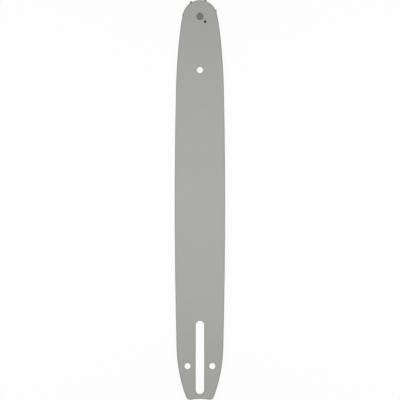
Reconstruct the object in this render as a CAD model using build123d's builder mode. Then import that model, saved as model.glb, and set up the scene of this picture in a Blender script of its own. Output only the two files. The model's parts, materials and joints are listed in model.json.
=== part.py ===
from build123d import *
from math import asin, atan2, cos, degrees, pi, radians, sin
import os

# Laminated chainsaw guide bar with a sprocket nose, lying flat with its nose towards +Y.
# The origin is the middle of the stud slot, on the underside. All sizes are in millimetres.

# Plates
bar_length = 395.4  # from the nose tip to the middle of the hollow in the tail
bar_width = 50.0  # across the rails where they stand furthest apart
side_plate_thickness = 1.3
core_thickness = 1.1  # also the width of the chain groove
groove_depth = 6.0
rail_chamfer = 0.3
hole_chamfer = 0.15  # takes the burr off the slot and the holes

# Outline of the side plates
widest_from_tail = 198.1
nose_radius = 17.15
neck_flare = 2.13  # how much further out than the nose each rail stands at the neck
neck_behind_nose = 10.5  # from the nose's own centre back to the neck
shoulder_from_nose = 86.0  # where the long rail arc hands over to the shoulder arc
shoulder_drop = 1.35  # how far each rail has come in by then
taper_length = 49.8  # the tail taper, up from the middle of the hollow
taper_drop = 1.87  # how far each rail has come in where the taper starts
tail_width = 24.7  # between the horns, before their corners are rounded
hollow_depth = 1.8
horn_radius = 4.6

# Slot and holes
slot_width = 8.3
slot_length = 72.7
slot_to_hollow = 4.65  # the web that closes the slot at the tail
pin_hole_diameter = 6.1
pin_hole_spacing = 24.5
pin_hole_offset = 8.6  # towards the tail, from the middle of the slot
oil_passage_width = 3.6
hang_hole_diameter = 6.2
hang_hole_from_nose = 69.4

# Nose sprocket
sprocket_lead = 0.95  # ahead of the nose's own centre, so that the teeth carry the chain round the tip
tooth_count = 7
tooth_rise = 0.37  # from the nose radius to the tooth tips
first_tooth_angle = 19.7
tip_width = 2.0
tip_rounding = 0.4
gullet_wall = 3.6  # between the bore and the floor of a gullet
pocket_clearance = 0.8  # between the tooth tips and the core plate
side_clearance = 0.05  # on each side of the sprocket and the rollers

# Nose bearing and rivet
roller_count = 18
roller_diameter = 2.5
roller_gap = 0.05  # between neighbouring rollers
bearing_clearance = 0.04  # between rollers and race, and between rollers and sprocket
rivet_shank_diameter = 5.5
rivet_head_diameter = 7.0
rivet_head_depth = 0.75
rivet_fit = 0.02
rivet_dimple_diameter = 1.2
rivet_dimple_depth = 0.3
spun_ring_inner_diameter = 2.6
spun_ring_outer_diameter = 6.2
spun_ring_depth = 0.18
grease_hole_diameter = 2.3
grease_hole_angle = -45.5

# Levels, from the underside up
core_level = side_plate_thickness
bar_thickness = core_thickness + 2 * side_plate_thickness
middle_plane = Plane.XY.offset(bar_thickness / 2)
running_level = core_level + side_clearance
running_thickness = core_thickness - 2 * side_clearance

# Stations along the bar
tail_y = -slot_length / 2 - slot_to_hollow
nose_y = tail_y + bar_length
sprocket_y = nose_y - nose_radius + sprocket_lead
hang_hole_y = nose_y - hang_hole_from_nose
pin_hole_places = [(side * pin_hole_spacing / 2, -pin_hole_offset) for side in (-1, 1)]

# Radii about the sprocket's axis: the rollers stand shoulder to shoulder round the race
tip_radius = nose_radius + tooth_rise
roller_circle = (roller_diameter + roller_gap) / (2 * sin(pi / roller_count))
race_radius = roller_circle - roller_diameter / 2 - bearing_clearance
bore_radius = roller_circle + roller_diameter / 2 + bearing_clearance

# The right-hand rail, from the tail horn round to the nose tip, as arcs that run into each other
half_width = bar_width / 2
widest = Vector(half_width, tail_y + widest_from_tail)
shoulder = Vector(half_width - shoulder_drop, nose_y - shoulder_from_nose)
taper_start = Vector(half_width - taper_drop, tail_y + taper_length)
horn = Vector(tail_width / 2, tail_y - hollow_depth)
nose_tip = Vector(0, nose_y)
nose_centre = Vector(0, nose_y - nose_radius)
neck = nose_centre + Vector(nose_radius + neck_flare, -neck_behind_nose)

with BuildLine() as right_rail:
    front_rail = TangentArc(widest, shoulder, tangent=(0, 1))
    shoulder_rail = TangentArc(shoulder, neck, tangent=front_rail % 1)
    # The neck arc leaves the shoulder and runs into the nose circle, with no corner at either end
    outward = (shoulder_rail % 1).rotate(Axis.Z, -90)
    reach = neck - nose_centre
    neck_radius = (reach.dot(reach) - nose_radius**2) / (2 * (reach.dot(outward) - nose_radius))
    neck_centre = neck - outward * neck_radius
    nose_start = nose_centre + (nose_centre - neck_centre).normalized() * nose_radius
    TangentArc(neck, nose_start, tangent=shoulder_rail % 1)
    TangentArc(nose_tip, nose_start, tangent=(1, 0))
    rear_rail = TangentArc(widest, taper_start, tangent=(0, -1))
    taper = TangentArc(taper_start, horn, tangent=rear_rail % 1)

with BuildSketch() as plate_outline:
    with BuildLine():
        add(right_rail.line)
        mirror(about=Plane.YZ)
        ThreePointArc(horn, (0, tail_y), (-horn.X, horn.Y))
    make_face()
    fillet(plate_outline.vertices().group_by(Axis.Y)[0], horn_radius)

# The core plate keeps the groove's depth from the rails and ends flush with the tail
with BuildSketch() as core_outline:
    with BuildLine():
        add(right_rail.line)
        run_on = Line(horn, horn + (taper % 1) * groove_depth * 2)
        Line(run_on @ 1, (0, (run_on @ 1).Y))
        mirror(about=Plane.YZ)
    make_face()
    offset(amount=-groove_depth, mode=Mode.REPLACE)
    add(plate_outline.sketch, mode=Mode.INTERSECT)
    with Locations((0, sprocket_y)):
        Circle(tip_radius + pocket_clearance, mode=Mode.SUBTRACT)

# What goes through all three plates
with BuildSketch() as through_holes:
    SlotOverall(slot_length, slot_width, rotation=90)
    with Locations(*pin_hole_places):
        Circle(pin_hole_diameter / 2)
    with Locations((0, hang_hole_y)):
        Circle(hang_hole_diameter / 2)

grease_hole_place = (
    roller_circle * cos(radians(grease_hole_angle)),
    sprocket_y + roller_circle * sin(radians(grease_hole_angle)),
)
head_radius = rivet_head_diameter / 2
shank_radius = rivet_shank_diameter / 2
rivet_hole_radius = shank_radius + rivet_fit
countersink_radius = head_radius + rivet_fit
countersink_angle = 2 * degrees(atan2(head_radius - shank_radius, rivet_head_depth))

os.makedirs("parts", exist_ok=True)

# Side plate on the underside
with BuildPart() as side_plate_back:
    with BuildSketch():
        add(plate_outline.sketch)
        add(through_holes.sketch, mode=Mode.SUBTRACT)
        with Locations(grease_hole_place):
            Circle(grease_hole_diameter / 2, mode=Mode.SUBTRACT)
    extrude(amount=side_plate_thickness)
    outer_face = side_plate_back.faces().sort_by(Axis.Z)[0]
    hole_edges = outer_face.inner_wires().edges()
    chamfer(outer_face.outer_wire().edges(), rail_chamfer)
    chamfer(hole_edges, hole_chamfer)
    with Locations(Plane((0, sprocket_y, 0), z_dir=(0, 0, -1))):
        CounterSinkHole(rivet_hole_radius, countersink_radius, counter_sink_angle=countersink_angle)
side_plate_back.part.label = "side_plate_back"
export_step(side_plate_back.part, "parts/side_plate_back.step")

# Core plate, with a passage from each pin hole that leads oil into the chain groove
with BuildPart() as core_plate:
    with BuildSketch(Plane.XY.offset(core_level)):
        add(core_outline.sketch)
        add(through_holes.sketch, mode=Mode.SUBTRACT)
        for x, y in pin_hole_places:
            with Locations((x, y)):
                outward_side = Align.MIN if x > 0 else Align.MAX
                Rectangle(
                    half_width - abs(x),
                    oil_passage_width,
                    align=(outward_side, Align.CENTER),
                    mode=Mode.SUBTRACT,
                )
    extrude(amount=core_thickness)
core_plate.part.label = "core_plate"
export_step(core_plate.part, "parts/core_plate.step")

# Side plate on top, the mirror image of the one below
with BuildPart() as side_plate_front:
    mirror(side_plate_back.part, about=middle_plane)
side_plate_front.part.label = "side_plate_front"
export_step(side_plate_front.part, "parts/side_plate_front.step")

# Nose sprocket: a star whose gullets are round and whose tips are narrow lands on the tip circle
root_radius = bore_radius + gullet_wall
half_pitch = 180 / tooth_count
half_gullet = half_pitch - degrees(asin(tip_width / 2 / tip_radius))
gullet_mouth = tip_radius * cos(radians(half_gullet))
gullet_centre = (tip_radius**2 - root_radius**2) / (2 * (gullet_mouth - root_radius))

with BuildPart() as nose_sprocket:
    with BuildSketch(Plane.XY.offset(running_level)) as star:
        with Locations((0, sprocket_y)):
            Circle(tip_radius)
            with PolarLocations(gullet_centre, tooth_count, start_angle=first_tooth_angle + half_pitch):
                Circle(gullet_centre - root_radius, mode=Mode.SUBTRACT)
        fillet(star.vertices(), tip_rounding)
        with Locations((0, sprocket_y)):
            Circle(bore_radius, mode=Mode.SUBTRACT)
    extrude(amount=running_thickness)
nose_sprocket.part.label = "nose_sprocket"
export_step(nose_sprocket.part, "parts/nose_sprocket.step")

# Inner race, clamped between the side plates
with BuildPart() as bearing_race:
    with BuildSketch(Plane.XY.offset(core_level)):
        with Locations((0, sprocket_y)):
            Circle(race_radius)
            Circle(rivet_hole_radius, mode=Mode.SUBTRACT)
    extrude(amount=core_thickness)
bearing_race.part.label = "bearing_race"
export_step(bearing_race.part, "parts/bearing_race.step")

# Rivet: countersunk heads flush with the side plates, each with the dimple and the dished ring that the
# riveting tool leaves
rivet_axis = Axis((0, sprocket_y, 0), (0, 0, 1))
ring_inner_radius = spun_ring_inner_diameter / 2
ring_outer_radius = spun_ring_outer_diameter / 2

with BuildPart() as nose_rivet:
    with BuildSketch(Plane((0, sprocket_y, 0), x_dir=(1, 0, 0), z_dir=(0, -1, 0))):
        with BuildLine():
            Polyline(
                (ring_outer_radius, 0),
                (head_radius, 0),
                (shank_radius, rivet_head_depth),
                (shank_radius, bar_thickness / 2),
                (0, bar_thickness / 2),
                (0, rivet_dimple_depth),
                (rivet_dimple_diameter / 2, 0),
                (ring_inner_radius, 0),
            )
            ThreePointArc(
                (ring_inner_radius, 0),
                ((ring_inner_radius + ring_outer_radius) / 2, spun_ring_depth),
                (ring_outer_radius, 0),
            )
        make_face()
    revolve(axis=rivet_axis)
    mirror(about=middle_plane)
nose_rivet.part.label = "nose_rivet"
export_step(nose_rivet.part, "parts/nose_rivet.step")

# Loose rollers, shoulder to shoulder round the race, the first of them behind the grease hole
roller_pitch = 2 * pi / roller_count
for number in range(roller_count):
    roller_name = f"roller_{number + 1:02d}"
    roller_angle = radians(grease_hole_angle) + number * roller_pitch
    roller_x = roller_circle * cos(roller_angle)
    roller_y = sprocket_y + roller_circle * sin(roller_angle)
    with BuildPart() as roller:
        with BuildSketch(Plane.XY.offset(running_level)):
            with Locations((roller_x, roller_y)):
                Circle(roller_diameter / 2)
        extrude(amount=running_thickness)
    roller.part.label = roller_name
    export_step(roller.part, f"parts/{roller_name}.step")
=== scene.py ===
import json
from math import atan2, cos, pi, sin

import bpy
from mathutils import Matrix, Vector


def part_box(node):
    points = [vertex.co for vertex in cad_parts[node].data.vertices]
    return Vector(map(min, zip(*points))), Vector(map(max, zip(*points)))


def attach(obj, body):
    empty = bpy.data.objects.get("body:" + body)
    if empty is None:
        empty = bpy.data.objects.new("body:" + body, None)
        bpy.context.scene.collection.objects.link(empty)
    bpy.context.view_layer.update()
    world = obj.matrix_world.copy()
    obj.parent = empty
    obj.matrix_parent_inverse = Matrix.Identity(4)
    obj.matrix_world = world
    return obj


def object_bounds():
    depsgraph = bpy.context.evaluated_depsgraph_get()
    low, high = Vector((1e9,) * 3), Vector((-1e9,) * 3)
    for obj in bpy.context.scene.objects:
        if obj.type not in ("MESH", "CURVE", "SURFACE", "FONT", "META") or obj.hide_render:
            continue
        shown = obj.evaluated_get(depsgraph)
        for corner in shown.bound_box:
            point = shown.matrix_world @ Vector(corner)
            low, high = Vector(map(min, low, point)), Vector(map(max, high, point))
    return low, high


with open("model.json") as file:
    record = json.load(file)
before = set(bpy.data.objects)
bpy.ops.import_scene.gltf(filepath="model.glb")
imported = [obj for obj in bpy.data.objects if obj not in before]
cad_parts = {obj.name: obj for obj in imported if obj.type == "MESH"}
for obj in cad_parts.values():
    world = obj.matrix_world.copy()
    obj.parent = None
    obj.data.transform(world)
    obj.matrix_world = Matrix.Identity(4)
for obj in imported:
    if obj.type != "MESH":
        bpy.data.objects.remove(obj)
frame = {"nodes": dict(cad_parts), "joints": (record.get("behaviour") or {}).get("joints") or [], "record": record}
cad_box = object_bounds()

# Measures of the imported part, in metres
MM = 0.001
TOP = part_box("side_plate_front")[1].z
MIDDLE = TOP / 2
GROOVE_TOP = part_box("core_plate")[1].z
SPROCKET_AXIS = Vector(frame["joints"][0]["pos_m"])
ROLLERS = frame["record"]["behaviour"]["bodies"]["rollers"]
ROLLER_LOW, ROLLER_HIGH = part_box(ROLLERS[0])
FIRST_ROLLER = (ROLLER_LOW + ROLLER_HIGH) / 2

# Places on the part, in millimetres
AXIS = SPROCKET_AXIS / MM
TAIL_END = cad_box[0].y / MM
GROOVE_HALF_WIDTH = (GROOVE_TOP - MIDDLE) / MM
SLOT_CORNER = Vector(frame["record"]["physics"]["openings"][0]["box_m"][1]) / MM
BORES = [mount for mount in frame["record"]["mounts"] if mount["kind"] == "bore"]
ROUND_HOLES = [(Vector(bore["pos_m"]) / MM, bore["dims"]["r_mm"]) for bore in BORES]
GREASE_HOLE = FIRST_ROLLER / MM  # the first roller lies behind it
GREASE_HOLE_RADIUS = 1.15
NOSE_HOLES_RADIUS = 9.0  # takes in the rivet and the grease hole beside it

# The photograph's frame, laid over the top of the bar
FRAME_SIDE = 396.52 * MM
FRAME_CENTRE = (0.07 * MM, 156.16 * MM)

# Colours, as linear red, green and blue
PAINT = (0.398, 0.403, 0.377)
GROUND_STEEL = (0.28, 0.28, 0.274)
CUT_STEEL = (0.25, 0.25, 0.242)
OILED_STEEL = (0.13, 0.125, 0.115)
HARD_STEEL = (0.095, 0.095, 0.09)
BEARING_STEEL = (0.5, 0.5, 0.49)
# Near-black grease, so dark that it also stands in for the shade down the grease hole
GREASE_AND_HOLE_SHADE = (0.012, 0.011, 0.009)
RIVET_STEEL = (0.15, 0.15, 0.143)
DARK_SHEEN = (0.3, 0.3, 0.3)  # keeps dark steel dark where it is seen at a slant
FLOOR_WHITE = (0.9, 0.9, 0.9)


class Nodes:
    """Adds nodes to one tree. Most calls return the socket that carries their result."""

    def __init__(self, tree):
        self.tree = tree

    def add(self, kind, **settings):
        made = self.tree.nodes.new(kind)
        for name, value in settings.items():
            setattr(made, name, value)
        return made

    def feed(self, socket, value):
        """Gives a socket a number, a colour or another socket's result."""
        if isinstance(value, bpy.types.NodeSocket):
            self.tree.links.new(value, socket)
        elif socket.type == "RGBA":
            socket.default_value = (*value, 1.0)
        else:
            socket.default_value = value

    def math(self, operation, a, b=0.0):
        made = self.add("ShaderNodeMath", operation=operation)
        self.feed(made.inputs[0], a)
        self.feed(made.inputs[1], b)
        return made.outputs[0]

    def product(self, first, *others):
        for other in others:
            first = self.math("MULTIPLY", first, other)
        return first

    def vector(self, operation, a, b=(0, 0, 0)):
        made = self.add("ShaderNodeVectorMath", operation=operation)
        self.feed(made.inputs[0], a)
        self.feed(made.inputs[1], b)
        return made.outputs["Value" if operation in ("DISTANCE", "DOT_PRODUCT") else "Vector"]

    def shade(self, colour, amount):
        """The colour times a number."""
        made = self.add("ShaderNodeVectorMath", operation="SCALE")
        self.feed(made.inputs[0], colour)
        self.feed(made.inputs["Scale"], amount)
        return made.outputs["Vector"]

    def ramp(self, value, low, high, to_low=0.0, to_high=1.0):
        """A number that eases from to_low to to_high as value goes from low to high."""
        made = self.add("ShaderNodeMapRange", interpolation_type="SMOOTHSTEP")
        given = {"Value": value, "From Min": low, "From Max": high, "To Min": to_low, "To Max": to_high}
        for name, number in given.items():
            self.feed(made.inputs[name], number)
        return made.outputs[0]

    def blend(self, share, a, b):
        """A number that goes from a to b with share."""
        made = self.add("ShaderNodeMix", data_type="FLOAT")
        for socket, value in zip((s for s in made.inputs if s.type == "VALUE"), (share, a, b)):
            self.feed(socket, value)
        return made.outputs[0]

    def mix(self, share, a, b):
        """A colour that goes from a to b with share."""
        made = self.add("ShaderNodeMix", data_type="RGBA")
        self.feed(made.inputs[0], share)
        for socket, value in zip((s for s in made.inputs if s.type == "RGBA"), (a, b)):
            self.feed(socket, value)
        return next(s for s in made.outputs if s.type == "RGBA")

    def seen(self):
        """1 for what is seen, straight, mirrored or through glass, and 0 for light that falls on things."""
        path = self.add("ShaderNodeLightPath").outputs
        mirrored = self.math("MAXIMUM", path["Is Glossy Ray"], path["Is Transmission Ray"])
        return self.math("MAXIMUM", path["Is Camera Ray"], mirrored)


class Finish(Nodes):
    """A material of the part. Its places are in the part's own frame, in millimetres."""

    def __init__(self, name):
        self.material = bpy.data.materials.new(name)
        self.material.use_nodes = True
        super().__init__(self.material.node_tree)
        self.surface = self.tree.nodes["Principled BSDF"].inputs
        self.place = self.shade(self.add("ShaderNodeTexCoord").outputs["Object"], 1 / MM)
        self.x, self.y, self.z = self.parts(self.place)
        self.normal = self.add("ShaderNodeNewGeometry").outputs["True Normal"]
        # 1 on faces that lie flat, 0 on upright walls
        self.flat = self.math("ABSOLUTE", self.parts(self.normal)[2])

    def parts(self, vector):
        made = self.add("ShaderNodeSeparateXYZ")
        self.feed(made.inputs[0], vector)
        return made.outputs

    def noise(self, grain, stretch=(1, 1, 1), detail=3.0):
        """Noise about 0.5. Its features measure about grain millimetres, times stretch along each axis."""
        made = self.add("ShaderNodeTexNoise")
        features_per_mm = [1 / (grain * longer) for longer in stretch]
        self.feed(made.inputs["Vector"], self.vector("MULTIPLY", self.place, features_per_mm))
        made.inputs["Scale"].default_value = 1.0
        made.inputs["Detail"].default_value = detail
        return made.outputs["Fac"]

    def spread(self, noise, low, high):
        """The noise as a number between low and high."""
        least, most = 0.3, 0.7  # nearly all of the noise lies between them
        return self.ramp(noise, least, most, low, high)

    def from_axis(self, centre):
        """How far a place is from the upright line through centre."""
        level_place = self.vector("MULTIPLY", self.place, (1, 1, 0))
        return self.vector("DISTANCE", level_place, (centre.x, centre.y, 0))

    def painted_shade_rim(self, reach):
        """1 at the edges of a face, down to 0 at reach millimetres from them. It masks the painted shade that
        darkens the paint towards the edges.
        """
        rounded = self.add("ShaderNodeBevel", samples=4)
        rounded.inputs["Radius"].default_value = reach * MM
        likeness = self.vector("DOT_PRODUCT", rounded.outputs[0], self.normal)
        alike, turned = 0.9995, 0.97  # away from the edges, and at one
        return self.ramp(likeness, alike, turned)

    def along_rails(self):
        """1 along the rails, and 0 round the slot, the holes and the tail's end, where no chain runs."""
        # Where the rails' finish starts and where it is full, in millimetres past each edge
        past_tail, past_slot, past_hole = (3.0, 5.0), (4.0, 4.5), (0.3, 0.6)

        clear = self.ramp(self.math("SUBTRACT", self.y, TAIL_END), *past_tail)
        past_side = self.math("SUBTRACT", self.math("ABSOLUTE", self.x), SLOT_CORNER.x)
        past_end = self.math("SUBTRACT", self.math("ABSOLUTE", self.y), SLOT_CORNER.y)
        clear = self.product(clear, self.ramp(self.math("MAXIMUM", past_side, past_end), *past_slot))
        for centre, radius in [*ROUND_HOLES, (AXIS, NOSE_HOLES_RADIUS)]:
            from_wall = self.math("SUBTRACT", self.from_axis(centre), radius)
            clear = self.product(clear, self.ramp(from_wall, *past_hole))
        return clear

    def finish(self, colour, metallic, roughness, relief, depth):
        """Feeds the surface. Relief is a height from 0 to 1, and 1 stands depth millimetres proud."""
        self.feed(self.surface["Base Color"], colour)
        self.feed(self.surface["Metallic"], metallic)
        self.feed(self.surface["Roughness"], roughness)
        bump = self.add("ShaderNodeBump")
        bump.inputs["Distance"].default_value = depth * MM
        self.feed(bump.inputs["Height"], relief)
        self.feed(self.surface["Normal"], bump.outputs[0])
        return self.material


def plate_finish():
    """Matte paint on the flats and in the holes, ground steel on the rails, oiled steel in the groove. Painted
    shade darkens the paint towards the edges and the rail steel on the chamfers, and the grease hole's wall is
    near black with grease and painted shade.
    """
    f = Finish("plate_finish")
    # Painted shade along the edges: how far in from an edge it reaches, in millimetres, and the paint's tone at
    # the edge
    painted_shade_reach = 2.6
    painted_shade_tone = 0.83
    # Painted shade on the chamfers: the rail steel's tone there
    chamfer_shade_tone = 0.72

    clouds = f.noise(45, detail=2.0)
    rolled = f.noise(0.4, stretch=(1, 60, 1))
    pigment = f.noise(0.2, detail=2.0)
    tone = f.product(
        f.spread(clouds, 0.988, 1.012),
        f.spread(rolled, 0.992, 1.008),
        f.spread(pigment, 0.95, 1.05),
        # painted shade, darker towards the edges of each face
        f.blend(f.painted_shade_rim(painted_shade_reach), 1.0, painted_shade_tone),
    )
    # The grease hole's wall is near black: grease, and painted shade down the narrow hole
    from_hole = f.math("SUBTRACT", f.from_axis(GREASE_HOLE), GREASE_HOLE_RADIUS)
    upright = f.ramp(f.flat, 0.5, 0.3)
    grease_and_shade = f.product(upright, f.ramp(from_hole, 0.35, 0.15))
    painted = f.mix(grease_and_shade, f.shade(PAINT, tone), GREASE_AND_HOLE_SHADE)

    off_flat = f.ramp(f.flat, 0.97, 0.9)
    ground = f.product(off_flat, f.along_rails())
    grinding = f.noise(0.12, stretch=(40, 40, 1))
    # Painted shade: the rail steel is darker on the slanted chamfers than on the upright rails
    chamfer_shade = f.ramp(f.flat, 0.4, 0.6, 1.0, chamfer_shade_tone)
    rail = f.shade(GROUND_STEEL, f.product(chamfer_shade, f.spread(grinding, 0.85, 1.12)))

    height = f.math("ABSOLUTE", f.math("SUBTRACT", f.z, MIDDLE / MM))
    inside = f.ramp(height, GROOVE_HALF_WIDTH + 0.04, GROOVE_HALF_WIDTH + 0.02)
    oil = f.noise(6)
    oiled = f.shade(OILED_STEEL, f.spread(oil, 0.7, 1.2))

    colour = f.mix(inside, f.mix(ground, painted, rail), oiled)
    metallic = f.math("MAXIMUM", ground, inside)
    painted_gloss = f.product(f.spread(clouds, 0.52, 0.6), f.spread(pigment, 0.95, 1.05))
    steel_gloss = f.blend(inside, f.spread(grinding, 0.28, 0.4), f.spread(oil, 0.25, 0.5))
    roughness = f.blend(metallic, painted_gloss, steel_gloss)
    relief = f.blend(ground, f.blend(0.25, pigment, rolled), grinding)
    return f.finish(colour, metallic, roughness, relief, depth=0.008)


def core_finish():
    """Cut steel, dark with oil where it is the floor of the groove."""
    f = Finish("core_finish")
    oil = f.noise(5)
    cut = f.noise(0.2, stretch=(2, 2, 0.5))
    in_groove = f.along_rails()
    oiled = f.shade(OILED_STEEL, f.spread(oil, 0.75, 1.2))
    colour = f.shade(f.mix(in_groove, CUT_STEEL, oiled), f.spread(cut, 0.88, 1.1))
    roughness = f.blend(in_groove, f.spread(cut, 0.4, 0.55), f.spread(oil, 0.28, 0.5))
    return f.finish(colour, 0.9, roughness, cut, depth=0.01)


def sprocket_finish():
    """Hardened steel, dark, with the fine marks of grinding on its faces."""
    f = Finish("sprocket_finish")
    f.feed(f.surface["Specular Tint"], DARK_SHEEN)
    scale = f.noise(1.2)
    grinding = f.noise(0.1, stretch=(12, 1, 1))
    tone = f.product(f.spread(scale, 0.85, 1.15), f.spread(grinding, 0.92, 1.08))
    roughness = f.spread(scale, 0.32, 0.46)
    relief = f.blend(0.5, scale, grinding)
    return f.finish(f.shade(HARD_STEEL, tone), 0.9, roughness, relief, depth=0.008)


def bearing_finish():
    """Bearing steel, ground bright on its round sides, with dark grease over its ends, near black so that it also
    stands in for the shade seen down the grease hole.
    """
    f = Finish("bearing_finish")
    f.feed(f.surface["Specular IOR Level"], 0.2)  # the grease shines little
    grease_and_shade = f.ramp(f.flat, 0.3, 0.7)
    lines = f.noise(0.15, stretch=(20, 20, 1))
    smear = f.noise(0.6)
    steel = f.shade(BEARING_STEEL, f.spread(lines, 0.88, 1.1))
    grease = f.shade(GREASE_AND_HOLE_SHADE, f.spread(smear, 0.7, 1.3))
    colour = f.mix(grease_and_shade, steel, grease)
    metallic = f.math("SUBTRACT", 1.0, grease_and_shade)
    roughness = f.blend(grease_and_shade, f.spread(lines, 0.2, 0.3), f.spread(smear, 0.4, 0.6))
    relief = f.blend(grease_and_shade, lines, smear)
    return f.finish(colour, metallic, roughness, relief, depth=0.006)


def rivet_finish():
    """Dark steel with the faint rings of the riveting tool, with a painted highlight on the land round its dimple
    and painted shade in the dimple.
    """
    f = Finish("rivet_finish")
    f.feed(f.surface["Specular Tint"], DARK_SHEEN)
    ring_pitch = 0.16
    ring_wander = 0.3
    dimple_radius = 0.6
    land_radius = 1.1

    radius = f.from_axis(AXIS)
    wander = f.product(f.noise(1.5), ring_wander)
    rings = f.math("PINGPONG", f.math("DIVIDE", f.math("ADD", radius, wander), ring_pitch), 1.0)
    from_land = f.math("ABSOLUTE", f.math("SUBTRACT", radius, land_radius))
    scale = f.noise(0.7)
    tone = f.product(
        f.spread(scale, 0.88, 1.12),
        f.ramp(rings, 0.0, 1.0, 0.96, 1.04),
        # painted highlight on the land round the dimple, and painted shade darkening the dimple
        f.ramp(from_land, 0.4, 0.7, 1.1, 0.9),
        f.ramp(radius, dimple_radius - 0.1, dimple_radius, 0.6, 1.0),
    )
    roughness = f.spread(scale, 0.42, 0.56)
    relief = f.blend(0.5, scale, rings)
    return f.finish(f.shade(RIVET_STEEL, tone), 0.85, roughness, relief, depth=0.006)


def dress_part():
    """Gives each node its finish, and returns the finishes by the record's material slots."""
    finishes = {
        "plate_paint": plate_finish(),
        "core_steel": core_finish(),
        "sprocket_steel": sprocket_finish(),
        "bearing_steel": bearing_finish(),
        "rivet_steel": rivet_finish(),
    }
    for subpart in frame["record"]["subparts"]:
        for material_slot in frame["nodes"][subpart["node"]].material_slots:
            material_slot.material = finishes[subpart["material_slot"]]
    return finishes


def add_mesh(name, points, faces, material):
    mesh = bpy.data.meshes.new(name)
    mesh.from_pydata(points, [], faces)
    mesh.materials.append(material)
    made = bpy.data.objects.new(name, mesh)
    bpy.context.scene.collection.objects.link(made)
    return made


def make_grease(finish):
    """The grease that fills the bearing between its rollers, a little lower between two than at each. Its
    near-black colour is grease and also painted shade for the grease hole.
    """
    first = FIRST_ROLLER - SPROCKET_AXIS
    roller_radius = (ROLLER_HIGH.x - ROLLER_LOW.x) / 2
    half_length = (ROLLER_HIGH.z - ROLLER_LOW.z) / 2
    inner = first.xy.length - roller_radius
    outer = first.xy.length + roller_radius
    fill, dip = 0.55, 0.15  # as shares of a roller's half length
    steps_per_roller = 8
    steps = steps_per_roller * len(ROLLERS)

    points, faces = [], []
    for step in range(steps):
        turn = 2 * pi * step / steps
        angle = atan2(first.y, first.x) + turn
        half = half_length * (fill + dip * cos(len(ROLLERS) * turn))
        section = ((inner, -half), (outer, -half), (outer, half), (inner, half))
        for radius, height in section:
            points.append(SPROCKET_AXIS + Vector((radius * cos(angle), radius * sin(angle), height)))
        here = len(section) * step
        ahead = len(section) * ((step + 1) % steps)
        for a, b in ((0, 1), (1, 2), (2, 3), (3, 0)):
            faces.append((here + a, ahead + a, ahead + b, here + b))
    grease = add_mesh("bearing_grease", points, faces, finish)
    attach(grease, "rollers")


def floor_finish():
    """Looks white. Near the part it is partly matte, so that a soft shadow shows."""
    near, far = 0.25, 0.6
    glow_near, glow_far = 0.94, 1.0

    material = bpy.data.materials.new("white_floor")
    material.use_nodes = True
    n = Nodes(material.node_tree)
    n.tree.nodes.clear()
    matte = n.add("ShaderNodeBsdfDiffuse")
    n.feed(matte.inputs["Color"], FLOOR_WHITE)
    glow = n.add("ShaderNodeEmission")
    away = n.vector("DISTANCE", n.add("ShaderNodeTexCoord").outputs["Object"], (*FRAME_CENTRE, 0))
    share = n.product(n.seen(), n.ramp(away, near, far, glow_near, glow_far))
    both = n.add("ShaderNodeMixShader")
    for socket, value in zip(both.inputs, (share, matte.outputs[0], glow.outputs[0])):
        n.feed(socket, value)
    n.feed(n.add("ShaderNodeOutputMaterial").inputs["Surface"], both.outputs[0])
    return material


def make_floor():
    """A wide square, a hair below the part."""
    reach = 6.0
    gap = 0.05 * MM
    corners = [(x * reach, y * reach, -gap) for x, y in ((-1, -1), (1, -1), (1, 1), (-1, 1))]
    add_mesh("floor", corners, [(0, 1, 2, 3)], floor_finish())


def make_world():
    """White all round to look at, and a quarter of that as light."""
    as_light, as_seen = 0.25, 1.0
    world = bpy.data.worlds.new("studio")
    bpy.context.scene.world = world
    world.use_nodes = True
    n = Nodes(world.node_tree)
    background = n.tree.nodes["Background"]
    n.feed(background.inputs["Color"], (1, 1, 1))
    n.feed(background.inputs["Strength"], n.ramp(n.seen(), 0.0, 1.0, as_light, as_seen))


def make_softboxes():
    """One softbox on each side of the bar, as high as it is far out, aimed at the middle of the view."""
    side_length = 0.3
    watts = 1.38
    distance = 0.36
    aim = Vector((*FRAME_CENTRE, 0))
    for name, side in (("softbox_left", -1), ("softbox_right", 1)):
        light = bpy.data.lights.new(name, "AREA")
        light.size = side_length
        light.energy = watts
        softbox = bpy.data.objects.new(name, light)
        softbox.location = aim + Vector((side * distance, 0, distance))
        softbox.rotation_euler = (aim - softbox.location).to_track_quat("-Z", "Y").to_euler()
        bpy.context.scene.collection.objects.link(softbox)


def make_camera():
    """Straight above the bar, far enough away that nothing looks tapered."""
    distance = 3.0
    camera = bpy.data.cameras.new("camera")
    camera.lens = camera.sensor_width * distance / FRAME_SIDE
    camera.clip_end = 20.0
    above = bpy.data.objects.new("camera", camera)
    above.location = (*FRAME_CENTRE, TOP + distance)
    bpy.context.scene.collection.objects.link(above)
    bpy.context.scene.camera = above


finishes = dress_part()
make_grease(finishes["bearing_steel"])
make_floor()
make_world()
make_softboxes()
make_camera()
bpy.context.scene.view_settings.view_transform = "Standard"
